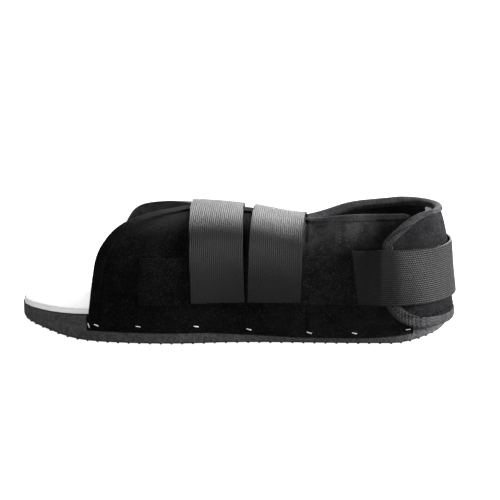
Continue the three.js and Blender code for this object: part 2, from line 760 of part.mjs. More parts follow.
function makeInstepStrap(name, start, lean) {
  const places = shares(4).map((t) => {
    const walk = (s) => walkTo((start + tapeWidth * t + lean * s) / soleLength);
    const nearLow = girthAtHeight(nearPanel, -walk(0), strapEndHeight);
    const farLow = girthAtHeight(farPanel, walk(2), strapSewnHeight);
    const near = (s) => ({ q: -walk(s), girth: mix(nearLow, strapCrossing, s), down: 0 });
    const far = (s) => ({ q: walk(1 + s), girth: mix(strapCrossing, farLow, s), down: s });
    return [...shares(12).map(near), ...shares(12).map(far)];
  });
  const under = (i, p) => mix(overPad + clearance / 4, overWall, ease(0.2, 0.8, p.down));
  const panel = (q, girth, out) => (q < 0 ? nearPanel : farPanel).point(q, girth, out);
  return makeLayer(name, panel, places, under, tapeThickness, webbing);
}

// The ankle strap goes level round the heel, from the near quarter over the heel wrap to the far quarter.
function makeAnkleStrap() {
  const overBinding = bindingGap + bindingThickness + clearance;
  const climbEnd = -wrapReach - climbGap;
  const climbStart = climbEnd - climbLength;
  const pastClimb = -wrapReach + bindingWidth + climbLength / 2;
  const outAtWalk = (q) => {
    const climb = ease(climbStart, climbEnd, q);
    const onWrap = liftAt(q) + mix(overBinding, overWall, ease(settleStart, settleEnd, q));
    return mix(overPad + clearance / 4, onWrap, climb) - liftAt(q);
  };
  const front = shares(12).map((t) => mix(-ankleStrapReach, pastClimb, t));
  const rear = shares(18).slice(1).map((t) => mix(pastClimb, ankleStrapSewnEnd, t));
  const stations = [...front, ...rear];
  const places = stations.map((q, i) => {
    const low = girthAtHeight(farPanel, q, ankleStrapHeight);
    const high = girthAtHeight(farPanel, q, ankleStrapHeight + tapeWidth);
    const lean = ankleStrapEndLean * Math.max(0, 1 - i / 6);
    return shares(4).map((s) => ({ q: q + lean * (1 - s), girth: mix(low, high, s) }));
  });
  const under = (i, p) => outAtWalk(p.q);
  return makeLayer("ankle_strap", farPanel.point, places, under, tapeThickness, webbing);
}

// A folded tape hangs inside the collar beside the back of the heel.
function makeInnerTab() {
  const middle = heelQuarter * 0.3;
  const top = 1 - (bindingWidth + 2 * clearance) / girthLength;
  const places = shares(3).map((t) => {
    const q = middle + (t - 0.5) * tabWidth;
    return shares(4).map((s) => ({ q, girth: mix(top - tabDrop / girthLength, top, s) }));
  });
  const drop = (p) => ((top - p.girth) * girthLength) / tabDrop;
  const behind = wallThickness + clearance + 2 * tabThickness;
  const under = (i, p) => -behind - tabBulge * Math.sin(drop(p) * Math.PI);
  return makeLayer("inner_tab", farPanel.point, places, under, tabThickness, cottonTape);
}

const shoe = new THREE.Group();
shoe.add(
  makeOutsole(),
  makeInsole(),
  makeUpper(),
  makeNearFlapBinding(),
  makeFarFlapBinding(),
  makeRidgeBinding(),
  makeNearCollarBinding(),
  makeHeelWrapBinding(),
  makeLoopPad(),
  makeInstepStrap("instep_strap_front", frontStrapStart, frontStrapLean),
  makeInstepStrap("instep_strap_rear", frontStrapStart + strapSpacing, rearStrapLean),
  makeAnkleStrap(),
  makeInnerTab(),
);

export default shoe;
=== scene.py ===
import math

import bpy
import numpy as np
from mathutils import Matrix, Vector
from mathutils.bvhtree import BVHTree


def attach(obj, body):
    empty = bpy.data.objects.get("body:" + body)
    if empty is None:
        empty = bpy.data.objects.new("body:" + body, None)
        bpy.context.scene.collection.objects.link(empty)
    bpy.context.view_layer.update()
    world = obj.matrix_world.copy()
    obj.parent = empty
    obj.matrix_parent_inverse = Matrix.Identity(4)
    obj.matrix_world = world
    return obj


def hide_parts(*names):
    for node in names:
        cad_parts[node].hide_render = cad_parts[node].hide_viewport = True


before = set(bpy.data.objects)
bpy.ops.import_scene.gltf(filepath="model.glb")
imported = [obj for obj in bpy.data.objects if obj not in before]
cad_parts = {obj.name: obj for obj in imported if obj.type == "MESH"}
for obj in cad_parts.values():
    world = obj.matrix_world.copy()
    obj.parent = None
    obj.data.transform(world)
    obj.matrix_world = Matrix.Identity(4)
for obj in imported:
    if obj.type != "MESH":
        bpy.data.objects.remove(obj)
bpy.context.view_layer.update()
mm = 0.001


def say(text):
    print("stage:", text)


# small helpers for working on a piece
def pick(obj):
    if bpy.context.object and bpy.context.object.mode != "OBJECT":
        bpy.ops.object.mode_set(mode="OBJECT")
    bpy.ops.object.select_all(action="DESELECT")
    obj.select_set(True)
    bpy.context.view_layer.objects.active = obj


def useMaterial(obj, material):
    obj.data.materials.clear()
    obj.data.materials.append(material)
    return obj


def copyOfNode(nodeName, name):
    # a merged working copy of a CAD solid, back in quads
    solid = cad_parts[nodeName]
    obj = solid.copy()
    obj.data = obj.data.copy()
    obj.name = name
    obj.data.name = name
    bpy.context.scene.collection.objects.link(obj)
    world = solid.matrix_world.copy()
    obj.parent = None
    obj.matrix_world = world
    pick(obj)
    bpy.ops.object.transform_apply(location=True, rotation=True, scale=True)
    bpy.ops.object.mode_set(mode="EDIT")
    bpy.ops.mesh.select_all(action="SELECT")
    bpy.ops.mesh.customdata_custom_splitnormals_clear()
    bpy.ops.mesh.remove_doubles(threshold=0.01 * mm)
    bpy.ops.mesh.tris_convert_to_quads(face_threshold=math.radians(50), shape_threshold=math.radians(70))
    bpy.ops.mesh.select_all(action="DESELECT")
    bpy.ops.object.mode_set(mode="OBJECT")
    return obj


def creaseSharp(obj, angle, amount):
    pick(obj)
    bpy.ops.object.mode_set(mode="EDIT")
    bpy.ops.mesh.select_mode(type="EDGE")
    bpy.ops.mesh.select_all(action="DESELECT")
    bpy.ops.mesh.edges_select_sharp(sharpness=math.radians(angle))
    bpy.ops.transform.edge_crease(value=amount)
    bpy.ops.mesh.select_all(action="DESELECT")
    bpy.ops.object.mode_set(mode="OBJECT")


def addModifier(obj, kind, **settings):
    pick(obj)
    modifier = obj.modifiers.new(kind.title(), kind)
    for key, value in settings.items():
        setattr(modifier, key, value)
    bpy.ops.object.modifier_apply(modifier=modifier.name)


def smooth(obj, angle):
    pick(obj)
    bpy.ops.object.shade_smooth_by_angle(angle=math.radians(angle))


def subdivide(obj, levels):
    addModifier(obj, "SUBSURF", levels=levels, render_levels=levels)


def points(obj):
    flat = np.empty(len(obj.data.vertices) * 3)
    obj.data.vertices.foreach_get("co", flat)
    return flat.reshape(-1, 3)


def setPoints(obj, places):
    obj.data.vertices.foreach_set("co", places.ravel())
    obj.data.update()


def finishPiece(obj, slot, *nodes):
    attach(obj, "root")
    if nodes:
        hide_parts(*nodes)
    return obj


def ease(a, b, x):
    t = np.clip((x - a) / (b - a), 0, 1)
    return t * t * (3 - 2 * t)


# shader node groups
def newGroup(name, inputs, outputs):
    group = bpy.data.node_groups.new(name, "ShaderNodeTree")
    for label, kind, value in inputs:
        socket = group.interface.new_socket(label, in_out="INPUT", socket_type=kind)
        if value is not None:
            socket.default_value = value
    for label in outputs:
        group.interface.new_socket(label, in_out="OUTPUT", socket_type="NodeSocketFloat")
    return group, group.nodes.new("NodeGroupInput"), group.nodes.new("NodeGroupOutput")


def node(tree, kind, **settings):
    made = tree.nodes.new(kind)
    for key, value in settings.items():
        setattr(made, key, value)
    return made


def connect(tree, value, socket):
    if isinstance(value, (int, float)):
        socket.default_value = value
    else:
        tree.links.new(value, socket)


def calculate(tree, operation, a, b=0.0):
    made = node(tree, "ShaderNodeMath", operation=operation)
    connect(tree, a, made.inputs[0])
    connect(tree, b, made.inputs[1])
    return made.outputs[0]


def times(tree, a, b):
    return calculate(tree, "MULTIPLY", a, b)


def plus(tree, a, b):
    return calculate(tree, "ADD", a, b)


def rampOf(tree, factor, low, high):
    made = node(tree, "ShaderNodeMapRange", interpolation_type="SMOOTHSTEP")
    tree.links.new(factor, made.inputs["Value"])
    made.inputs["From Min"].default_value = low
    made.inputs["From Max"].default_value = high
    return made.outputs["Result"]


def noiseOf(tree, vector, scale, detail=2.0, roughness=0.55):
    made = node(tree, "ShaderNodeTexNoise")
    tree.links.new(vector, made.inputs["Vector"])
    connect(tree, scale, made.inputs["Scale"])
    made.inputs["Detail"].default_value = detail
    made.inputs["Roughness"].default_value = roughness
    return made.outputs["Fac"]


def splitOf(tree, vector):
    made = node(tree, "ShaderNodeSeparateXYZ")
    tree.links.new(vector, made.inputs[0])
    return made.outputs


def makeFibreGroup():
    # short brushed fibres: fine grain for height, broad patches of nap for tone, light fibre ends as flecks
    group, given, out = newGroup("fibreNap", [
        ("Vector", "NodeSocketVector", None),
        ("Grain", "NodeSocketFloat", 900.0),
        ("Patches", "NodeSocketFloat", 45.0),
    ], ["Height", "Nap", "Flecks"])
    vector = given.outputs["Vector"]
    grain = noiseOf(group, vector, given.outputs["Grain"], 3, 0.7)
    coarse = noiseOf(group, vector, times(group, given.outputs["Grain"], 0.37), 2, 0.6)
    patches = noiseOf(group, vector, given.outputs["Patches"], 3, 0.6)
    connect(group, plus(group, grain, times(group, coarse, 0.6)), out.inputs["Height"])
    connect(group, rampOf(group, patches, 0.3, 0.7), out.inputs["Nap"])
    connect(group, rampOf(group, coarse, 0.5, 0.72), out.inputs["Flecks"])
    return group


def makeWeaveGroup():
    # plain woven tape over UV in metres: warp threads along the tape, each column of weft half a thread on
    group, given, out = newGroup("tapeWeave", [
        ("UV", "NodeSocketVector", None),
        ("Warp", "NodeSocketFloat", 900.0),
        ("Weft", "NodeSocketFloat", 1400.0),
    ], ["Height", "GapShade"])
    split = splitOf(group, given.outputs["UV"])
    across = times(group, times(group, split["X"], given.outputs["Warp"]), math.pi)
    along = times(group, times(group, split["Y"], given.outputs["Weft"]), math.pi)
    warp = calculate(group, "ABSOLUTE", calculate(group, "SINE", across))
    column = calculate(group, "ROUND", calculate(group, "DIVIDE", across, math.pi))
    shifted = plus(group, along, times(group, column, math.pi / 2))
    weft = calculate(group, "ABSOLUTE", calculate(group, "SINE", shifted))
    bulge = plus(group, 0.15, times(group, weft, 0.85))
    height = times(group, calculate(group, "POWER", warp, 0.7), bulge)
    connect(group, height, out.inputs["Height"])
    # painted shade: the weave is coloured darker where it sinks between the threads
    connect(group, rampOf(group, height, 0.45, 0.15), out.inputs["GapShade"])
    return group


def makeSpeckleGroup():
    # granules of ground rubber or foam cells pressed in a mould
    group, given, out = newGroup("rubberSpeckle", [
        ("Vector", "NodeSocketVector", None),
        ("Size", "NodeSocketFloat", 700.0),
    ], ["Height", "Tone"])
    cells = node(group, "ShaderNodeTexVoronoi")
    connect(group, given.outputs["Vector"], cells.inputs["Vector"])
    connect(group, given.outputs["Size"], cells.inputs["Scale"])
    shade = node(group, "ShaderNodeSeparateColor")
    connect(group, cells.outputs["Color"], shade.inputs[0])
    soft = noiseOf(group, given.outputs["Vector"], times(group, given.outputs["Size"], 0.3), 2)
    height = plus(group, times(group, cells.outputs["Distance"], 0.6), soft)
    tone = plus(group, times(group, shade.outputs["Red"], 0.5), times(group, soft, 0.5))
    connect(group, height, out.inputs["Height"])
    connect(group, tone, out.inputs["Tone"])
    return group


fibreNap = makeFibreGroup()
tapeWeave = makeWeaveGroup()
rubberSpeckle = makeSpeckleGroup()


def placeGroup(tree, group, **values):
    made = node(tree, "ShaderNodeGroup", node_tree=group)
    for key, value in values.items():
        connect(tree, value, made.inputs[key])
    return made.outputs


def mixColour(tree, factor, first, second):
    made = node(tree, "ShaderNodeMix", data_type="RGBA")
    connect(tree, factor, made.inputs["Factor"])
    for label, value in (("A", first), ("B", second)):
        socket = [s for s in made.inputs if s.name == label and s.type == "RGBA"][0]
        if isinstance(value, tuple):
            socket.default_value = (*value, 1)
        else:
            tree.links.new(value, socket)
    return [s for s in made.outputs if s.type == "RGBA"][0]


def shaded(colour, amount):
    return tuple(amount * c for c in colour)


def finishMaterial(tree, shader, colour, height, bump):
    tree.links.new(colour, shader.inputs["Base Color"])
    made = node(tree, "ShaderNodeBump")
    made.inputs["Distance"].default_value = bump
    made.inputs["Strength"].default_value = 1.0
    tree.links.new(height, made.inputs["Height"])
    tree.links.new(made.outputs["Normal"], shader.inputs["Normal"])


def newMaterial(name, roughness, specular, sheen=0.0, sheenRoughness=0.5):
    material = bpy.data.materials.new(name)
    material.use_nodes = True
    tree = material.node_tree
    shader = tree.nodes["Principled BSDF"]
    shader.inputs["Roughness"].default_value = roughness
    shader.inputs["Sheen Weight"].default_value = sheen
    shader.inputs["Sheen Roughness"].default_value = sheenRoughness
    shader.inputs["Specular IOR Level"].default_value = specular
    return material, tree, shader, node(tree, "ShaderNodeTexCoord").outputs


# pile of the upper and of the loop pad; grain and patches to the metre; the last colour of each is painted
# light, the pile where light falls on its back and top
napSettings = dict(
    upperPile=dict(
        dark=(0.0012, 0.0012, 0.0014), light=(0.0030, 0.0030, 0.0034), fleck=(0.015, 0.015, 0.016),
        paintedLitColour=(0.085, 0.085, 0.089), grain=2100.0, flecks=0.6, bump=0.5 * mm),
    loopPile=dict(
        dark=(0.0010, 0.0010, 0.0012), light=(0.0036, 0.0036, 0.0040), fleck=(0.020, 0.020, 0.022),
        paintedLitColour=(0.11, 0.11, 0.115), grain=2900.0, flecks=0.9, bump=0.9 * mm),
)
# painted light: the pile is coloured lighter behind the straps and near the collar, less on the heel wrap,
# where the light falls
paintedLightZone = dict(back=(0.0, 80 * mm), high=(60 * mm, 90 * mm), wrap=(108 * mm, 70 * mm),
                   everywhere=0.04, onWrap=0.06, beforeWrap=0.6)


def makeNapMaterial(name, dark, light, fleck, paintedLitColour, grain, flecks, bump):
    material, tree, shader, where = newMaterial(name, 0.9, 0.03, sheen=0.02, sheenRoughness=0.45)
    nap = placeGroup(tree, fibreNap, Vector=where["Object"], Grain=grain, Patches=95.0)
    zone = paintedLightZone
    place = splitOf(tree, where["Object"])
    back = rampOf(tree, place["X"], *zone["back"])
    high = rampOf(tree, place["Z"], *zone["high"])
    fade = rampOf(tree, place["X"], *zone["wrap"])
    strength = plus(tree, zone["onWrap"], times(tree, fade, zone["beforeWrap"]))
    # the amount of painted light: it rises toward the back and the top and is weaker on the heel wrap
    amount = plus(tree, times(tree, back, zone["everywhere"]), times(tree, times(tree, back, high), strength))
    # the lit pile colour, painted light, varied by the nap patches
    paintedLitNap = mixColour(tree, nap["Nap"], shaded(paintedLitColour, 0.6), shaded(paintedLitColour, 1.3))
    base = mixColour(tree, amount, mixColour(tree, nap["Nap"], dark, light), paintedLitNap)
    # the fibre ends are lit up by the painted light too
    ends = mixColour(tree, amount, fleck, shaded(paintedLitColour, 2.2))
    colour = mixColour(tree, times(tree, nap["Flecks"], flecks), base, ends)
    finishMaterial(tree, shader, colour, nap["Height"], bump)
    return material


# woven tapes; warp and weft threads to the metre; the dark colour is painted shade in the gaps between
# threads
tapeSettings = dict(
    strapWebbing=dict(dark=(0.002, 0.002, 0.0024), light=(0.0070, 0.0070, 0.0077), threads=700.0,
                      specular=0.13, bump=0.27 * mm),
    whiteTape=dict(dark=(0.6, 0.6, 0.6), light=(0.86, 0.86, 0.85), threads=1500.0,
                   specular=0.3, bump=0.15 * mm),
)


def makeTapeMaterial(name, dark, light, threads, specular, bump):
    material, tree, shader, where = newMaterial(name, 0.47, specular, sheen=0.05, sheenRoughness=0.3)
    weave = placeGroup(tree, tapeWeave, UV=where["UV"], Warp=threads, Weft=threads)
    fibres = placeGroup(tree, fibreNap, Vector=where["Object"], Grain=1500.0, Patches=80.0)
    tone = mixColour(tree, fibres["Nap"], shaded(light, 0.85), light)
    # painted shade in the gaps between threads
    colour = mixColour(tree, weave["GapShade"], tone, dark)
    height = plus(tree, weave["Height"], times(tree, fibres["Height"], 0.25))
    finishMaterial(tree, shader, colour, height, bump)
    return material


# ribbed braid of the bindings; the front copy is the same braid coloured far darker, painted shade on the
# near flap's edge and the ridge
braidSettings = dict(
    bindingBraid=dict(dark=(0.010, 0.010, 0.011), light=(0.036, 0.036, 0.038), specular=0.12),
    frontBraidPaintedShade=dict(dark=(0.0012, 0.0012, 0.0014), light=(0.0040, 0.0040, 0.0044), specular=0.02),
)
# painted shade: the gaps between the ribs are mixed toward one fixed grey
braidRibs = dict(warp=620.0, weft=420.0, gap=(0.006, 0.006, 0.007), gapShadeDepth=0.6, bump=0.4 * mm)


def makeBraidMaterial(name, dark, light, specular):
    material, tree, shader, where = newMaterial(name, 0.7, specular, sheen=specular * 0.4, sheenRoughness=0.4)
    fibres = placeGroup(tree, fibreNap, Vector=where["Object"], Grain=1300.0, Patches=120.0)
    place = splitOf(tree, where["Object"])
    lay = node(tree, "ShaderNodeCombineXYZ")  # the ribs stand up and down and go on round the heel
    connect(tree, calculate(tree, "SUBTRACT", place["X"], place["Y"]), lay.inputs["X"])
    connect(tree, place["Z"], lay.inputs["Y"])
    ribs = placeGroup(tree, tapeWeave, UV=lay.outputs[0], Warp=braidRibs["warp"], Weft=braidRibs["weft"])
    base = mixColour(tree, fibres["Nap"], dark, light)
    # the rib gaps are painted shade
    colour = mixColour(tree, times(tree, ribs["GapShade"], braidRibs["gapShadeDepth"]), base, braidRibs["gap"])
    height = plus(tree, ribs["Height"], times(tree, fibres["Height"], 0.4))
    finishMaterial(tree, shader, colour, height, braidRibs["bump"])
    return material


rubberSettings = dict(dark=(0.006, 0.006, 0.007), light=(0.068, 0.068, 0.071), dust=(0.11, 0.11, 0.115),
                      granules=750.0, dusting=0.18, bump=0.45 * mm)


def makeRubberMaterial(dark, light, dust, granules, dusting, bump):
    material, tree, shader, where = newMaterial("soleRubber", 0.75, 0.2)
    grains = placeGroup(tree, rubberSpeckle, Vector=where["Object"], Size=granules)
    wear = placeGroup(tree, fibreNap, Vector=where["Object"], Grain=300.0, Patches=25.0)
    base = mixColour(tree, grains["Tone"], dark, light)
    colour = mixColour(tree, times(tree, wear["Nap"], dusting), base, dust)
    finishMaterial(tree, shader, colour, grains["Height"], bump)
    return material


foamSettings = dict(dark=(0.72, 0.72, 0.715), light=(0.84, 0.84, 0.835), cellsPerMetre=1400.0, bump=0.08 * mm)


def makeFoamMaterial(dark, light, cellsPerMetre, bump):
    material, tree, shader, where = newMaterial("insoleFoam", 0.7, 0.35)
    cells = placeGroup(tree, rubberSpeckle, Vector=where["Object"], Size=cellsPerMetre)
    finishMaterial(tree, shader, mixColour(tree, cells["Tone"], dark, light), cells["Height"], bump)
    return material


threadSettings = dict(
    whiteThread=dict(colour=(0.85, 0.85, 0.84), specular=0.3),
    blackThread=dict(colour=(0.0015, 0.0015, 0.0018), specular=0.02),
    greyThread=dict(colour=(0.10, 0.10, 0.104), specular=0.1),
)


def makeThreadMaterial(name, colour, specular):
    material, tree, shader, where = newMaterial(name, 0.6, specular, sheen=0.05, sheenRoughness=0.4)
    twist = placeGroup(tree, fibreNap, Vector=where["Object"], Grain=2500.0, Patches=400.0)
    tone = mixColour(tree, twist["Nap"], shaded(colour, 0.8), colour)
    finishMaterial(tree, shader, tone, twist["Height"], 0.1 * mm)
    return material


upperPile, loopPile = (makeNapMaterial(name, **settings) for name, settings in napSettings.items())
strapWebbing, whiteTape = (makeTapeMaterial(name, **settings) for name, settings in tapeSettings.items())
bindingBraid, frontBraidPaintedShade = (makeBraidMaterial(name, **settings) for name, settings in braidSettings.items())
soleRubber = makeRubberMaterial(**rubberSettings)
insoleFoam = makeFoamMaterial(**foamSettings)
whiteThread, blackThread, greyThread = (
    makeThreadMaterial(name, **settings) for name, settings in threadSettings.items())
say("materials ready")


tapeUvSettings = dict(slices=119, evened=4)


# UV in metres for a tape that turns round a centre: X across the tape, Y its length
def tapeUv(obj, centre, acrossAxis, turnAxes, slices, evened):
    places = points(obj)
    a, b = turnAxes
    fullTurn = 2 * math.pi
    turn = np.arctan2(places[:, b] - centre[b], places[:, a] - centre[a]) % fullTurn
    inOrder = np.sort(turn)
    gaps = np.diff(np.append(inOrder, inOrder[0] + fullTurn))
    start = inOrder[np.argmax(gaps)] + 1e-6  # the widest gap is off the tape
    turn = (turn - start) % fullTurn
    bounds = np.linspace(turn.min(), turn.max(), slices + 1)
    inSlice = np.clip(np.digitize(turn, bounds) - 1, 0, slices - 1)
    radius = np.hypot(places[:, a] - centre[a], places[:, b] - centre[b])
    known = np.unique(inSlice)
    mean = np.interp(np.arange(slices), known, [radius[inSlice == k].mean() for k in known])
    # inner and outer points of the tape are evened out
    weights = np.ones(2 * evened + 1) / (2 * evened + 1)
    mean = np.convolve(np.pad(mean, evened, mode="edge"), weights, mode="valid")
    middle = (bounds[:-1] + bounds[1:]) / 2
    step = np.hypot(np.diff(mean), (mean[:-1] + mean[1:]) / 2 * np.diff(middle))
    walked = np.interp(turn, middle, np.append(0, np.cumsum(step)))
    uv = obj.data.uv_layers.new(name="tape") if not obj.data.uv_layers else obj.data.uv_layers[0]
    corner = np.empty(len(obj.data.loops), dtype=int)
    obj.data.loops.foreach_get("vertex_index", corner)
    uv.data.foreach_set("uv", np.column_stack([places[corner, acrossAxis], walked[corner]]).ravel())


# surfaces of the CAD solids, to lay small pieces on
def skinOf(*names):
    verts, faces = [], []
    for name in names:
        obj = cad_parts[name]
        base = len(verts)
        verts += [obj.matrix_world @ v.co for v in obj.data.vertices]
        faces += [[base + k for k in f.vertices] for f in obj.data.polygons]
    return BVHTree.FromPolygons(verts, faces)


heelCentre = 111 * mm
heelRadius = 41.5 * mm
heelQuarter = heelRadius * math.pi / 2
wellOutside = 200 * mm


def walkOf(x, y):
    # distance round the heel from the middle of its back, negative on the near side
    side = 1 if y > 0 else -1
    if x < heelCentre:
        return side * (heelQuarter + heelCentre - x)
    return heelRadius * math.atan2(y, x - heelCentre)


def onSkin(skin, walk, z):
    # place and outward direction on the outside of the shoe
    side = 1 if walk > 0 else -1
    if abs(walk) > heelQuarter:
        start = Vector((heelCentre + heelQuarter - abs(walk), side * wellOutside, z))
        ray = Vector((0, -side, 0))
    else:
        turn = walk / heelRadius
        ray = Vector((-math.cos(turn), -math.sin(turn), 0))
        start = Vector((heelCentre, 0, z)) - ray * wellOutside
    place, normal = skin.ray_cast(start, ray)[:2]
    if place is None:
        return None, None
    if normal.dot(ray) > 0:
        normal = -normal
    return place, normal


# outsole: the CAD solid with the rest of its tread
soleSettings = dict(
    pitch=7.6 * mm, rows=19, columns=7, width=2.6 * mm, flare=0.58, height=1.1 * mm, rooted=0.3 * mm,
    margin=7.5 * mm, nearby=(-9, -5, 0, 5, 9), taken=0.45,
)


def makeSole(pitch, rows, columns, width, flare, height, rooted, margin, nearby, taken):
    obj = copyOfNode("outsole", "soleBody")
    skin = skinOf("outsole")
    flat = points(obj)
    edges = np.linspace(flat[:, 0].min(), flat[:, 0].max(), 120)
    halves = np.array([np.abs(flat[np.abs(flat[:, 0] - x) < 4 * mm, 1]).max() for x in edges])
    up = Vector((0, 0, 1))
    studs = []
    for i in range(-rows, rows + 1):
        for j in range(-columns, columns + 1):
            x, y = i * pitch, j * pitch
            reach = min(np.interp(x + k * mm, edges, halves) for k in nearby) - abs(y)
            ends = min(x - flat[:, 0].min(), flat[:, 0].max() - x)
            if reach < margin or ends < margin:
                continue
            here = skin.ray_cast(Vector((x, y, -0.1)), up)[0]
            beside = skin.ray_cast(Vector((x + pitch / 2, y, -0.1)), up)[0]
            # the CAD solid has a stud of its own where the ray stops low
            if here is None or beside is None or here.z < beside.z - height * taken:
                continue
            studs.append((x, y, here.z - height / 2 + rooted / 2))
    stud = dict(vertices=8, radius1=width / 2, radius2=width * flare, depth=height + rooted)
    bpy.ops.object.select_all(action="DESELECT")
    bpy.ops.mesh.primitive_cone_add(location=studs[0], **stud)
    tread = bpy.context.object
    tread.name = "soleTread"
    pick(tread)
    bpy.ops.object.transform_apply(location=True, rotation=True, scale=True)
    bpy.ops.object.mode_set(mode="EDIT")
    for place in studs[1:]:
        bpy.ops.mesh.primitive_cone_add(location=place, **stud)
    bpy.ops.object.mode_set(mode="OBJECT")
    smooth(obj, 35)
    useMaterial(obj, soleRubber)
    useMaterial(tread, soleRubber)
    finishPiece(obj, "sole_rubber", "outsole")
    finishPiece(tread, "sole_rubber")


makeSole(**soleSettings)
say("sole")


# insole: foam sheet with a softened edge
insoleSettings = dict(edge=0.5 * mm)


def makeInsole(edge):
    obj = copyOfNode("insole", "insoleSheet")
    addModifier(obj, "BEVEL", width=edge, segments=2, limit_method="ANGLE", angle_limit=math.radians(35))
    smooth(obj, 40)
    useMaterial(obj, insoleFoam)
    return finishPiece(obj, "insole_foam", "insole")


insole = makeInsole(**insoleSettings)
say("insole")


# upper: brushed fabric wall with its creases
upperSettings = dict(
    ripple=0.35 * mm, shoulder=0.45, middleHeight=40 * mm,
    creases=[
        # walk from the back centre, height, to walk, height; half width, depth; millimetres, near side
        (-123.5, 84, -121.5, 6, 0.9, 0.9),       # joint of the vamp and the quarter, behind the rear strap
        (-99.9, 85.5, -99.4, 70, 0.9, 0.7),      # short seam below the collar
        (-79.2, 66, -79.6, 83.5, 0.8, 0.8),      # rear patch of the quarter, front edge
        (-79.0, 84.0, -76.5, 86.8, 0.8, 0.7),    # its rounded corner
        (-75.5, 87.2, -36, 88.4, 0.7, 0.5),      # its top edge
        (-190, 70, -196, 30, 9.0, 0.5),          # the rest are wide and soft
        (-240, 60, -246, 25, 8.0, 0.7),
        (-216, 78, -222, 55, 7.0, 0.5),
        (-110, 60, -106, 25, 6.0, 0.4),
        (-262, 45, -255, 20, 5.0, 0.5),
    ],
)


def makeUpper(ripple, shoulder, middleHeight, creases):
    obj = copyOfNode("upper", "upperCloth")
    creaseSharp(obj, 50, 0.75)
    subdivide(obj, 2)
    places = points(obj)
    walks = np.array([walkOf(x, y) for x, y in places[:, :2]]) / mm
    heights = places[:, 2] / mm
    # soft waves, a few centimetres long
    push = ripple * np.sin(walks / 13 + 1.3 * np.sin(heights / 17)) * np.sin(heights / 12 + walks / 41)
    for ax, az, bx, bz, half, depth in creases:
        span = np.hypot(bx - ax, bz - az)
        along = ((walks - ax) * (bx - ax) + (heights - az) * (bz - az)) / span
        across = ((walks - ax) * (bz - az) - (heights - az) * (bx - ax)) / span
        fade = ease(-half * 1.5, half, along) * ease(span + half * 1.5, span - half, along)
        trough = np.exp(-(across / half) ** 2)
        trough -= shoulder * np.exp(-((np.abs(across) - 2.1 * half) / half) ** 2)
        push -= depth * mm * trough * fade
    hold = ease(0.5, 6, heights - heights.min())
    # the inside of the wall moves with the outside
    outward = places - (heelCentre, 0, middleHeight)
    outward[:, 0] = np.maximum(outward[:, 0], 0)
    outward[:, 2] *= 0.5
    outward /= np.linalg.norm(outward, axis=1)[:, None]
    setPoints(obj, places + outward * (push * hold)[:, None])
    smooth(obj, 60)
    useMaterial(obj, upperPile)
    return finishPiece(obj, "upper_pile", "upper")


upper = makeUpper(**upperSettings)
say("upper")


# bindings: folded braid over the free edges
bindingSettings = dict(
    # the near flap and the ridge get the darker copy of the braid, painted shade
    binding_near_flap=frontBraidPaintedShade, binding_far_flap=bindingBraid, binding_ridge=frontBraidPaintedShade,
    binding_near_collar=upperPile, binding_heel_wrap=bindingBraid,
)


def makeBinding(name, material):
    obj = copyOfNode(name, name.replace("_", "-"))
    creaseSharp(obj, 80, 0.4)
    subdivide(obj, 2)
    smooth(obj, 60)
    useMaterial(obj, material)
    finishPiece(obj, "binding_braid", name)


for name, material in bindingSettings.items():
    makeBinding(name, material)
say("bindings")


# loop pad, straps and the white tab
def makePad():
    obj = copyOfNode("loop_pad", "loopPad")
    creaseSharp(obj, 50, 0.7)
    subdivide(obj, 2)
    smooth(obj, 60)
    useMaterial(obj, loopPile)
    return finishPiece(obj, "upper_pile", "loop_pad")


loopPad = makePad()

strapSettings = {
    "instep_strap_front": dict(centre=(0, 0, 35 * mm), acrossAxis=0, turnAxes=(1, 2), length=193 * mm),
    "instep_strap_rear": dict(centre=(0, 0, 35 * mm), acrossAxis=0, turnAxes=(1, 2), length=174 * mm),
    "ankle_strap": dict(centre=(95 * mm, 0, 0), acrossAxis=2, turnAxes=(0, 1), length=218 * mm),
}


def makeStrap(name, centre, acrossAxis, turnAxes, length):
    obj = copyOfNode(name, name.replace("_", "-") + "-tape")
    creaseSharp(obj, 50, 0.8)
    subdivide(obj, 2)
    tapeUv(obj, centre, acrossAxis, turnAxes, **tapeUvSettings)
    smooth(obj, 50)
    useMaterial(obj, strapWebbing)
    return finishPiece(obj, "strap_webbing", name)


bridgeSettings = dict(start=66 * mm, end=98 * mm, stations=25, reach=1.5 * mm, share=0.85)


# the tape spans the hollow beside the wrap's edge
def bridgeStep(obj, start, end, stations, reach, share):
    places = points(obj)
    along = np.linspace(start, end, stations)
    outer = np.array([places[np.abs(places[:, 0] - x) < reach, 1].min() for x in along])
    lift = np.minimum(0, np.interp(along, [start, end], [outer[0], outer[-1]]) - outer)
    near = places[:, 1] < 0
    places[near, 1] += np.interp(places[near, 0], along, share * lift)
    setPoints(obj, places)


straps = [makeStrap(name, **settings) for name, settings in strapSettings.items()]
bridgeStep(straps[2], **bridgeSettings)


def makeTab():
    obj = copyOfNode("inner_tab", "innerTab")
    creaseSharp(obj, 50, 0.8)
    subdivide(obj, 2)
    smooth(obj, 50)
    useMaterial(obj, whiteTape)
    finishPiece(obj, "white_tape", "inner_tab")


makeTab()
say("pad, straps and tab")


# threads on the surface
stitchSettings = dict(segments=8, rings=6, fullness=0.6, ahead=0.5 * mm)


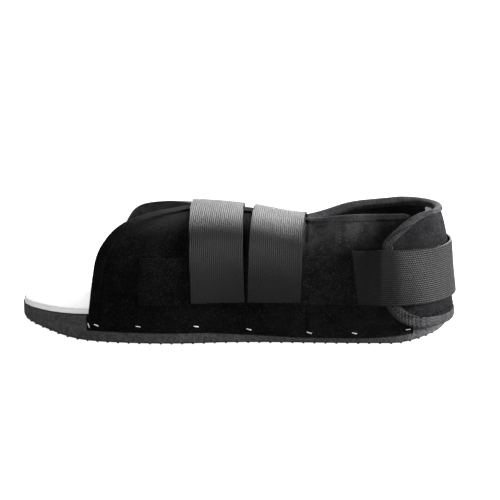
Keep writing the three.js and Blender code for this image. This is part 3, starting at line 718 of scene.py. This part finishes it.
# one piece from many stitches, each with its place, its direction along the thread and the way outward
def stitches(name, spots, length, thickness, material, slot):
    bpy.ops.object.select_all(action="DESELECT")
    made = []
    for place, along, outward in spots:
        along = along.normalized()
        outward = (outward - outward.dot(along) * along).normalized()
        side = outward.cross(along)
        bpy.ops.mesh.primitive_uv_sphere_add(
            segments=stitchSettings["segments"], ring_count=stitchSettings["rings"], radius=1)
        obj = bpy.context.object
        ball = points(obj)
        ball[:, 2] = np.sign(ball[:, 2]) * np.abs(ball[:, 2]) ** stitchSettings["fullness"]
        axes = np.array([side * thickness / 2, outward * thickness / 2, along * length / 2])
        setPoints(obj, ball @ axes + np.array(place))
        made.append(obj)
    for obj in made:
        obj.select_set(True)
    bpy.context.view_layer.objects.active = made[0]
    bpy.ops.object.join()
    obj = bpy.context.object
    obj.name = name
    obj.data.name = name
    smooth(obj, 80)
    useMaterial(obj, material)
    finishPiece(obj, slot)


# spots at even distances along a line of walks and heights, both in millimetres
def spotsAlong(skin, line, spacing):
    walks = [walk for walk, height in line]
    heights = [height for walk, height in line]
    walked = np.append(0, np.cumsum(np.hypot(np.diff(walks), np.diff(heights)))) * mm
    spots = []
    for start in np.arange(0, walked[-1], spacing):
        here, after = [
            onSkin(skin, np.interp(s, walked, walks) * mm, np.interp(s, walked, heights) * mm)
            for s in (start, start + stitchSettings["ahead"])]
        if here[0] is not None and after[0] is not None:
            spots.append((here[0], after[0] - here[0], here[1]))
    return spots


# white stitches that tack the upper to the sole's lip, on both sides
tackSettings = dict(
    places=[
        # walk forward from the back centre, height, lean of the thread
        (275.7, 13.6, 70), (270.2, 14.2, 18), (240.4, 14.2, 8), (199.6, 14.2, 8),
        (162.6, 11.3, 17), (120.3, 9.3, 17), (88.3, 9.1, 14), (50.4, 11.5, -4),
    ],
    length=4.0 * mm, thickness=0.8 * mm, proud=0.2,
)


def makeTacks(places, length, thickness, proud):
    skin = skinOf(*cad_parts)
    spots = []
    for side in (-1, 1):
        for walk, z, lean in places:
            place, outward = onSkin(skin, side * walk * mm, z * mm)
            if place is None:
                continue
            turn = math.radians(lean)
            level = Vector((-outward.y, outward.x, 0)).normalized() * -side
            along = level * math.cos(turn) - Vector((0, 0, 1)) * math.sin(turn)
            spots.append((place + outward * thickness * proud, along, outward))
    stitches("tackStitches", spots, length, thickness, whiteThread, "white_tape")


makeTacks(**tackSettings)
say("tack stitches")


# rows of dark stitches through the wrap's braid; walk from the back centre and height
braidStitchSettings = dict(
    lines=[
        [(-64.9, 34.1), (-61.3, 28.5), (-56.3, 24.7), (-50.6, 22.6), (-43.2, 21.0),
         (-35.5, 21.2), (-25.8, 21.6), (-14.2, 21.9), (0, 22.0), (20, 22.0)],
        [(-67.0, 74.0), (-61.8, 78.8), (-54.1, 82.3), (-44.9, 84.9), (-31.0, 88.0)],
    ],
    spacing=2.6 * mm, length=1.5 * mm, thickness=0.75 * mm,
)


def makeBraidStitches(lines, spacing, length, thickness):
    skin = skinOf("binding_heel_wrap", "upper")
    spots = [spot for line in lines for spot in spotsAlong(skin, line, spacing)]
    stitches("braidStitches", spots, length, thickness, blackThread, "binding_braid")


makeBraidStitches(**braidStitchSettings)
say("braid stitches")


# seams of the near quarter: a row under the collar, a short seam and the outline of the rear patch
seamSettings = dict(
    lines=[
        [(-99.9, 84.0), (-99.6, 71.0)],
        [(-79.2, 67.0), (-79.4, 83.0), (-77.6, 85.2)],
    ],
    collar=(-150, -72, 2.0), searched=(94 * mm, 70 * mm, -0.5 * mm), drop=4.0 * mm, nearSide=-1 * mm,
    spacing=1.9 * mm, length=1.2 * mm, thickness=0.5 * mm,
)


def makeSeams(lines, collar, searched, drop, nearSide, spacing, length, thickness):
    skin = skinOf("binding_near_collar", "upper")
    underCollar = []
    for walk in np.arange(*collar):
        for z in np.arange(*searched):
            place = onSkin(skin, walk * mm, z)[0]
            if place is not None and place.y < nearSide:
                underCollar.append((walk, (z - drop) / mm))
                break
    spots = [spot for line in lines + [underCollar] for spot in spotsAlong(skin, line, spacing)]
    spots = [spot for spot in spots if spot[0].y <= nearSide]
    stitches("seamStitches", spots, length, thickness, greyThread, "upper_pile")


makeSeams(**seamSettings)
say("seam stitches")


# floor, light and camera
stageSettings = dict(
    floorSize=12, floorGlow=1.0, bounce=0.27, sky=0.17, aim=(0.03, 0, 0.05),
    lights=[
        # name, place, size, watts
        ("topLight", (0.35, 1.45, 1.0), 0.9, 72),
        ("heelLight", (2.0, 0.0, 0.7), 0.7, 190),
        ("frontLight", (-1.1, -2.2, 0.45), 1.1, 36),
    ],
)


def makeStage(floorSize, floorGlow, bounce, sky, aim, lights):
    bpy.ops.object.select_all(action="DESELECT")
    bpy.ops.mesh.primitive_plane_add(size=floorSize, location=(0, 0, 0))
    floor = bpy.context.object
    floor.name = "floor"
    material = bpy.data.materials.new("paleFloor")
    material.use_nodes = True
    tree = material.node_tree
    shader = tree.nodes["Principled BSDF"]
    shader.inputs["Base Color"].default_value = (bounce, bounce, bounce, 1)
    shader.inputs["Roughness"].default_value = 0.9
    shader.inputs["Specular IOR Level"].default_value = 0.0
    shader.inputs["Emission Color"].default_value = (1, 1, 1, 1)
    # the paper is blown out to white for the camera only
    rays = node(tree, "ShaderNodeLightPath")
    connect(tree, times(tree, rays.outputs["Is Camera Ray"], floorGlow), shader.inputs["Emission Strength"])
    useMaterial(floor, material)
    world = bpy.context.scene.world or bpy.data.worlds.new("sky")
    bpy.context.scene.world = world
    world.use_nodes = True
    background = world.node_tree.nodes["Background"]
    background.inputs["Color"].default_value = (1, 1, 1, 1)
    background.inputs["Strength"].default_value = sky
    for name, place, size, watts in lights:
        bpy.ops.object.light_add(type="AREA", location=place)
        light = bpy.context.object
        light.name = name
        light.data.size = size
        light.data.energy = watts
        light.rotation_euler = (Vector(aim) - Vector(place)).to_track_quat("-Z", "Y").to_euler()


makeStage(**stageSettings)

cameraSettings = dict(azimuth=4.0, elevation=13.8, distance=1.8, lens=180.2, aim=(11.05 * mm, 0, 57.6 * mm))


def makeCamera(azimuth, elevation, distance, lens, aim):
    a, e = math.radians(azimuth), math.radians(elevation)
    back = Vector((math.sin(a) * math.cos(e), -math.cos(a) * math.cos(e), math.sin(e)))
    bpy.ops.object.camera_add(location=Vector(aim) + back * distance)
    camera = bpy.context.object
    camera.name = "photoCamera"
    camera.data.lens = lens
    camera.data.sensor_width = 36
    camera.data.clip_end = 50
    camera.rotation_euler = back.to_track_quat("Z", "Y").to_euler()
    bpy.context.scene.camera = camera
    bpy.context.scene.view_settings.view_transform = "Standard"


makeCamera(**cameraSettings)
say("stage and camera")
